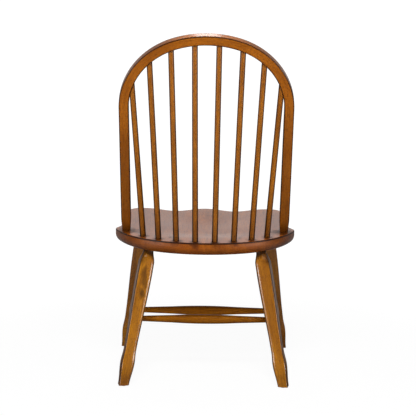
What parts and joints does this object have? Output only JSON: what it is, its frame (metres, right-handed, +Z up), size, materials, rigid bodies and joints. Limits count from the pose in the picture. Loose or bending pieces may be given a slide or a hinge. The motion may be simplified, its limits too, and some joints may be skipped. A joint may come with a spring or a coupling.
{
  "type": "bow back side chair",
  "caption": "Armless wooden dining chair: a saddled seat of glued boards on splayed shaped legs with turned stretchers, and a back of slim spindles under a steam-bent bow.",
  "frame": {"origin": "on the floor under the middle of the chair's outer box, at the underside of the four glides", "axes": "+Z up, -Y the way the sitter faces, +X the sitter's left hand; the chair is a mirror image of itself across X = 0"},
  "size_m": [0.5282, 0.535, 1.0376],
  "materials": {
    "seat_wood": "oak boards, mid-brown stain, satin lacquer",
    "bow_wood": "bent oak, golden brown stain with dark glazed edges, satin lacquer",
    "spindle_wood": "turned hardwood, golden brown stain, satin lacquer",
    "leg_wood": "oak, golden brown stain with dark glazed edges, satin lacquer",
    "stretcher_wood": "turned hardwood, golden brown stain, satin lacquer",
    "glide_nylon": "dark brown moulded nylon",
    "screw_steel": "zinc plated steel"
  },
  "bodies": {
    "root": {"seat_board_1": "seat_wood", "seat_board_2": "seat_wood", "seat_board_3": "seat_wood", "seat_board_4": "seat_wood", "seat_board_5": "seat_wood", "seat_board_6": "seat_wood", "bow": "bow_wood", "spindle_left_1": "spindle_wood", "spindle_left_2": "spindle_wood", "spindle_left_3": "spindle_wood", "spindle_left_4": "spindle_wood", "spindle_right_1": "spindle_wood", "spindle_right_2": "spindle_wood", "spindle_right_3": "spindle_wood", "spindle_right_4": "spindle_wood", "leg_front_left": "leg_wood", "leg_front_right": "leg_wood", "leg_rear_left": "leg_wood", "leg_rear_right": "leg_wood", "side_stretcher_left": "stretcher_wood", "side_stretcher_right": "stretcher_wood", "cross_stretcher_front": "stretcher_wood", "cross_stretcher_rear": "stretcher_wood", "glide_front_left": "glide_nylon", "glide_front_right": "glide_nylon", "glide_rear_left": "glide_nylon", "glide_rear_right": "glide_nylon", "bow_screws": "screw_steel"}
  },
  "joints": []
}
